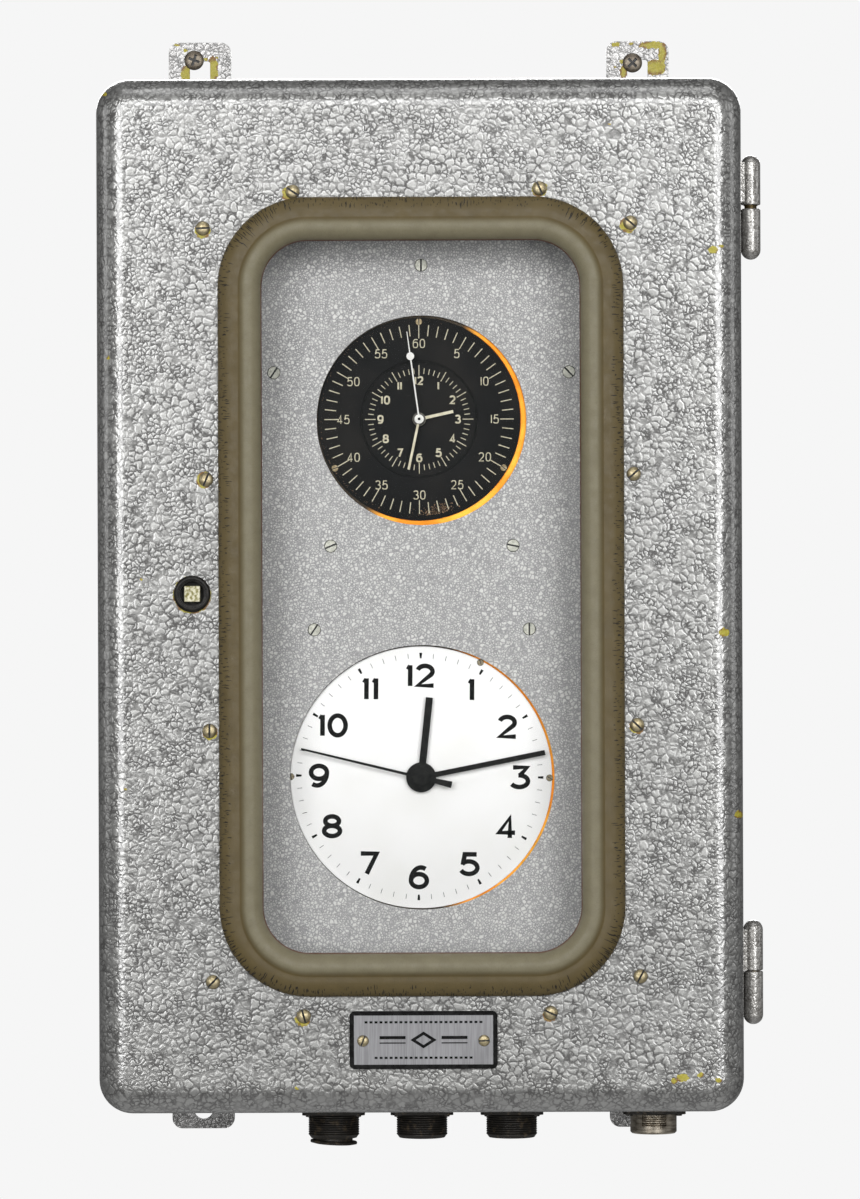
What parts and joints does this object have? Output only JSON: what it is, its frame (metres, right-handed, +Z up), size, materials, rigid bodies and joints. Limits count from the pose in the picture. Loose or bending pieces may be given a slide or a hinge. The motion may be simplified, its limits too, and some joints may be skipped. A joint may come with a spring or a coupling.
{
  "type": "ship's master clock",
  "caption": "Wall-hung steel clock cabinet with a hinged glazed door, a black chronometer dial above a white clock dial, and threaded cable sockets below.",
  "frame": {"origin": "on the wall plane, the straps' back faces, behind the middle of the cabinet", "axes": "+Z up, +Y into the wall, the dials face -Y, +X towards the hinges"},
  "size_m": [0.335, 0.1912, 0.5757],
  "materials": {
    "hammertone": "silver-grey hammertone enamel",
    "panel_hammertone": "fine light grey hammertone",
    "steel": "plain",
    "olive_rubber": "aged, crazed",
    "black_rubber": "matt",
    "glass": "clear",
    "brass": "tarnished",
    "gilt": "gilt",
    "black_finish": "worn black",
    "nickel": "dull nickel",
    "engraved_plate": "brushed, dark border",
    "black_dial": "matt black",
    "white_dial": "satin white",
    "cream_paint": "cream",
    "white_paint": "white",
    "black_paint": "satin black",
    "aluminium": "plain",
    "board": "green laminate",
    "battery": "wrapped",
    "bakelite": "brown"
  },
  "bodies": {
    "cabinet": {"case_shell": "hammertone", "strap_left": "hammertone", "strap_right": "hammertone", "door_seal": "black_rubber", "latch_catch": "steel", "hinge_upper_base": "hammertone", "hinge_lower_base": "hammertone", "connector_a": "black_finish", "connector_b": "black_finish", "connector_c": "black_finish", "connector_d": "nickel", "dial_panel": "panel_hammertone", "chassis_bracket_top": "steel", "chassis_bracket_bottom": "steel", "chrono_ring": "gilt", "chrono_dial": "black_dial", "chrono_plate": "brass", "chrono_can": "aluminium", "chrono_motor": "steel", "slave_ring": "gilt", "slave_dial": "white_dial", "slave_plate": "brass", "slave_can": "aluminium", "slave_motor": "steel", "circuit_board": "board", "oscillator": "aluminium", "battery_pack": "battery", "terminal_block": "bakelite"},
    "door": {"door_shell": "hammertone", "window_gasket": "olive_rubber", "window_pane": "glass", "window_clamp_frame": "steel", "lock_housing": "black_finish", "lock_nut": "steel", "nameplate": "engraved_plate", "hinge_upper_knuckle": "hammertone", "hinge_lower_knuckle": "hammertone", "door_screw_01": "brass", "door_screw_02": "brass", "door_screw_03": "brass", "door_screw_04": "brass", "door_screw_05": "brass", "door_screw_06": "brass", "door_screw_07": "brass", "door_screw_08": "brass", "door_screw_09": "brass", "door_screw_10": "brass", "door_screw_11": "brass", "door_screw_12": "brass"},
    "lock": {"lock_spindle": "steel", "lock_cam": "steel"},
    "dust_plug": {"dust_plug": "black_finish"},
    "chrono_minute": {"chrono_minute_hand": "cream_paint"},
    "chrono_hour": {"chrono_hour_hand": "cream_paint"},
    "chrono_seconds": {"chrono_seconds_hand": "white_paint"},
    "chrono_minute_wheel": {"chrono_minute_wheel": "brass"},
    "slave_minute": {"slave_minute_hand": "black_paint"},
    "slave_hour": {"slave_hour_hand": "black_paint"},
    "slave_seconds": {"slave_seconds_hand": "black_paint"},
    "slave_minute_wheel": {"slave_minute_wheel": "brass"}
  },
  "joints": [
    {"name": "door_swing", "type": "hinge", "parent": "cabinet", "child": "door", "pos_m": [0.168, -0.146, 0], "axis": [0, 0, 1], "range_deg": [0, 170]},
    {"name": "lock_turn", "type": "hinge", "parent": "door", "child": "lock", "pos_m": [-0.114, -0.16, 0.0012], "axis": [0, 1, 0], "range_deg": [0, 90]},
    {"name": "dust_plug_pull", "type": "slide", "parent": "cabinet", "child": "dust_plug", "axis": [0, 0, -1], "range_m": [0, 0.02]},
    {"name": "chrono_minute_turn", "type": "hinge", "parent": "cabinet", "child": "chrono_minute", "pos_m": [-0.0002, -0.14, 0.0894], "axis": [0, 1, 0], "continuous": true},
    {"name": "chrono_hour_turn", "type": "hinge", "parent": "cabinet", "child": "chrono_hour", "pos_m": [-0.0002, -0.14, 0.0894], "axis": [0, 1, 0], "continuous": true},
    {"name": "chrono_seconds_turn", "type": "hinge", "parent": "cabinet", "child": "chrono_seconds", "pos_m": [-0.0002, -0.14, 0.0894], "axis": [0, 1, 0], "continuous": true},
    {"name": "chrono_minute_wheel_turn", "type": "hinge", "parent": "cabinet", "child": "chrono_minute_wheel", "pos_m": [-0.0002, -0.14, 0.0734], "axis": [0, 1, 0], "continuous": true},
    {"name": "slave_minute_turn", "type": "hinge", "parent": "cabinet", "child": "slave_minute", "pos_m": [0.0002, -0.14, -0.0921], "axis": [0, 1, 0], "continuous": true},
    {"name": "slave_hour_turn", "type": "hinge", "parent": "cabinet", "child": "slave_hour", "pos_m": [0.0002, -0.14, -0.0921], "axis": [0, 1, 0], "continuous": true},
    {"name": "slave_seconds_turn", "type": "hinge", "parent": "cabinet", "child": "slave_seconds", "pos_m": [0.0002, -0.14, -0.0921], "axis": [0, 1, 0], "continuous": true},
    {"name": "slave_minute_wheel_turn", "type": "hinge", "parent": "cabinet", "child": "slave_minute_wheel", "pos_m": [0.0002, -0.14, -0.1081], "axis": [0, 1, 0], "continuous": true}
  ],
  "couplings": [
    {"joint": "chrono_hour_turn", "follows": "chrono_minute_turn", "ratio": 0.083333},
    {"joint": "chrono_seconds_turn", "follows": "chrono_minute_turn", "ratio": 60},
    {"joint": "chrono_minute_wheel_turn", "follows": "chrono_minute_turn", "ratio": -0.33333},
    {"joint": "slave_hour_turn", "follows": "slave_minute_turn", "ratio": 0.083333},
    {"joint": "slave_seconds_turn", "follows": "slave_minute_turn", "ratio": 60},
    {"joint": "slave_minute_wheel_turn", "follows": "slave_minute_turn", "ratio": -0.33333}
  ]
}
